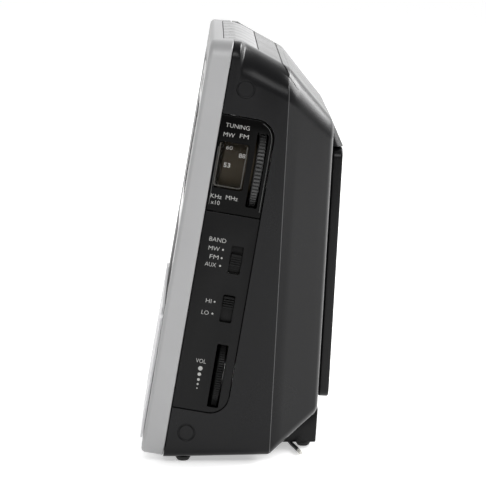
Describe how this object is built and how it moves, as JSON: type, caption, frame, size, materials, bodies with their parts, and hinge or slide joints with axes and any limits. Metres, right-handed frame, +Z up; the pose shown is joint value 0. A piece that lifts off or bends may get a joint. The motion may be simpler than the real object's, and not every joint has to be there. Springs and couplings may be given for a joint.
{
  "type": "radio cassette player",
  "caption": "Upright lean-back radio cassette player: silver bezel, tape door, top piano keys, side tuning and volume thumb wheels, slide switches, rear battery door, wire aerial.",
  "frame": {"origin": "middle of the footprint, on the surface that the feet stand on", "axes": "+Z up, the speaker and tape door face -Y, the tuning and volume wheels are on the +X side"},
  "size_m": [0.2186, 0.0938, 0.1919],
  "materials": {
    "silver_plastic": "satin silver paint on moulded plastic",
    "black_plastic": "satin moulded plastic with a fine grain",
    "gloss_black": "polished",
    "clear_window": "clear moulded window",
    "rubber": "soft matt rubber",
    "wire": "smooth flexible insulation",
    "grille_metal": "perforated and painted silver",
    "steel": "zinc plated",
    "brass": "turned",
    "white_plastic": "moulded",
    "dial_print": "dark scale with pale numbers",
    "board": "varnished laminate",
    "cone_paper": "pressed paper"
  },
  "bodies": {
    "case": {"front_bezel": "silver_plastic", "front_panel": "gloss_black", "speaker_grille": "grille_metal", "front_cabinet": "black_plastic", "rear_cabinet": "black_plastic", "side_control_panel": "black_plastic", "tuning_panel": "gloss_black", "dial_window": "clear_window", "tuning_capacitor": "white_plastic", "volume_pot": "steel", "band_switch_body": "steel", "level_switch_body": "steel", "door_hinge_pin": "steel", "key_guide": "steel", "deck_chassis": "steel", "flywheel_bracket": "steel", "motor": "steel", "drive_belt": "rubber", "speaker_basket": "steel", "speaker_magnet": "steel", "speaker_cone": "cone_paper", "circuit_board": "board", "ferrite_aerial": "black_plastic", "battery_tray": "black_plastic", "battery_contact_left": "steel", "battery_contact_right": "steel", "phone_socket": "black_plastic", "line_in_socket": "black_plastic", "rear_foot_block": "black_plastic", "front_foot_left": "rubber", "front_foot_right": "rubber", "rear_foot_left": "rubber", "rear_foot_right": "rubber", "aerial_gland": "rubber", "aerial_lead": "wire", "aerial_coil": "wire", "aerial_free_end": "wire", "aerial_tip": "rubber"},
    "tuner": {"tuning_wheel": "black_plastic", "dial_drum": "dial_print"},
    "volume_control": {"volume_wheel": "black_plastic"},
    "band_knob": {"band_switch_knob": "black_plastic"},
    "level_knob": {"level_switch_knob": "black_plastic"},
    "tape_door": {"cassette_door": "black_plastic", "door_window": "clear_window"},
    "supply_reel": {"supply_spindle": "white_plastic"},
    "takeup_reel": {"takeup_spindle": "white_plastic"},
    "flywheel": {"capstan_flywheel": "steel"},
    "pulley": {"motor_pulley": "brass"},
    "head_assembly": {"head_plate": "steel", "play_head": "steel", "erase_head": "black_plastic"},
    "roller": {"pinch_roller": "rubber"},
    "battery_cover": {"battery_door": "black_plastic"},
    "record_button": {"record_key": "silver_plastic"},
    "play_button": {"play_key": "silver_plastic"},
    "rewind_button": {"rewind_key": "silver_plastic"},
    "forward_button": {"forward_key": "silver_plastic"},
    "stop_eject_button": {"stop_eject_key": "silver_plastic"},
    "pause_button": {"pause_key": "silver_plastic"}
  },
  "joints": [
    {"name": "tuning_turn", "type": "hinge", "parent": "case", "child": "tuner", "pos_m": [0.0723, 0.00707, 0.13324], "axis": [0, 0.9854, -0.1702], "range_deg": [-10, 170]},
    {"name": "volume_turn", "type": "hinge", "parent": "case", "child": "volume_control", "pos_m": [0.0743, -0.01068, 0.0399], "axis": [0, 0.9854, -0.1702], "range_deg": [-140, 140]},
    {"name": "band_slide", "type": "slide", "parent": "case", "child": "band_knob", "axis": [0, 0.1702, 0.9854], "range_m": [-0.0037, 0.0037]},
    {"name": "level_slide", "type": "slide", "parent": "case", "child": "level_knob", "axis": [0, -0.1702, -0.9854], "range_m": [0, 0.0056]},
    {"name": "tape_door_open", "type": "hinge", "parent": "case", "child": "tape_door", "pos_m": [0, -0.0275, 0.09852], "axis": [1, 0, 0], "range_deg": [0, 28]},
    {"name": "battery_door_open", "type": "hinge", "parent": "case", "child": "battery_cover", "pos_m": [0, 0.03651, 0.02508], "axis": [-1, 0, 0], "range_deg": [0, 75]},
    {"name": "supply_turn", "type": "hinge", "parent": "case", "child": "supply_reel", "pos_m": [-0.02125, -0.0109, 0.13259], "axis": [0, 0.9854, -0.1702], "continuous": true},
    {"name": "takeup_turn", "type": "hinge", "parent": "case", "child": "takeup_reel", "pos_m": [0.02125, -0.0109, 0.13259], "axis": [0, 0.9854, -0.1702], "continuous": true},
    {"name": "capstan_turn", "type": "hinge", "parent": "case", "child": "flywheel", "pos_m": [0.023, 0.00011, 0.15525], "axis": [0, 0.9854, -0.1702], "continuous": true},
    {"name": "pulley_turn", "type": "hinge", "parent": "case", "child": "pulley", "pos_m": [-0.03, 0.00055, 0.14604], "axis": [0, 0.9854, -0.1702], "continuous": true},
    {"name": "head_slide", "type": "slide", "parent": "case", "child": "head_assembly", "axis": [0, -0.1702, -0.9854], "range_m": [0, 0.0062]},
    {"name": "roller_turn", "type": "hinge", "parent": "head_assembly", "child": "roller", "pos_m": [0.023, -0.00847, 0.17017], "axis": [0, 0.9854, -0.1702], "continuous": true},
    {"name": "record_key_press", "type": "slide", "parent": "case", "child": "record_button", "axis": [0, -0.1702, -0.9854], "range_m": [0, 0.003], "stiffness_N_per_m": 500, "springref_m": -0.004},
    {"name": "play_key_press", "type": "slide", "parent": "case", "child": "play_button", "axis": [0, -0.1702, -0.9854], "range_m": [0, 0.003], "stiffness_N_per_m": 500, "springref_m": -0.004},
    {"name": "rewind_key_press", "type": "slide", "parent": "case", "child": "rewind_button", "axis": [0, -0.1702, -0.9854], "range_m": [0, 0.003], "stiffness_N_per_m": 500, "springref_m": -0.004},
    {"name": "forward_key_press", "type": "slide", "parent": "case", "child": "forward_button", "axis": [0, -0.1702, -0.9854], "range_m": [0, 0.003], "stiffness_N_per_m": 500, "springref_m": -0.004},
    {"name": "stop_eject_key_press", "type": "slide", "parent": "case", "child": "stop_eject_button", "axis": [0, -0.1702, -0.9854], "range_m": [0, 0.003], "stiffness_N_per_m": 500, "springref_m": -0.004},
    {"name": "pause_key_press", "type": "slide", "parent": "case", "child": "pause_button", "axis": [0, -0.1702, -0.9854], "range_m": [0, 0.003], "stiffness_N_per_m": 500, "springref_m": -0.004}
  ],
  "couplings": [
    {"joint": "pulley_turn", "follows": "capstan_turn", "ratio": 4.8571},
    {"joint": "head_slide", "follows": "play_key_press", "ratio": 2.0666}
  ]
}
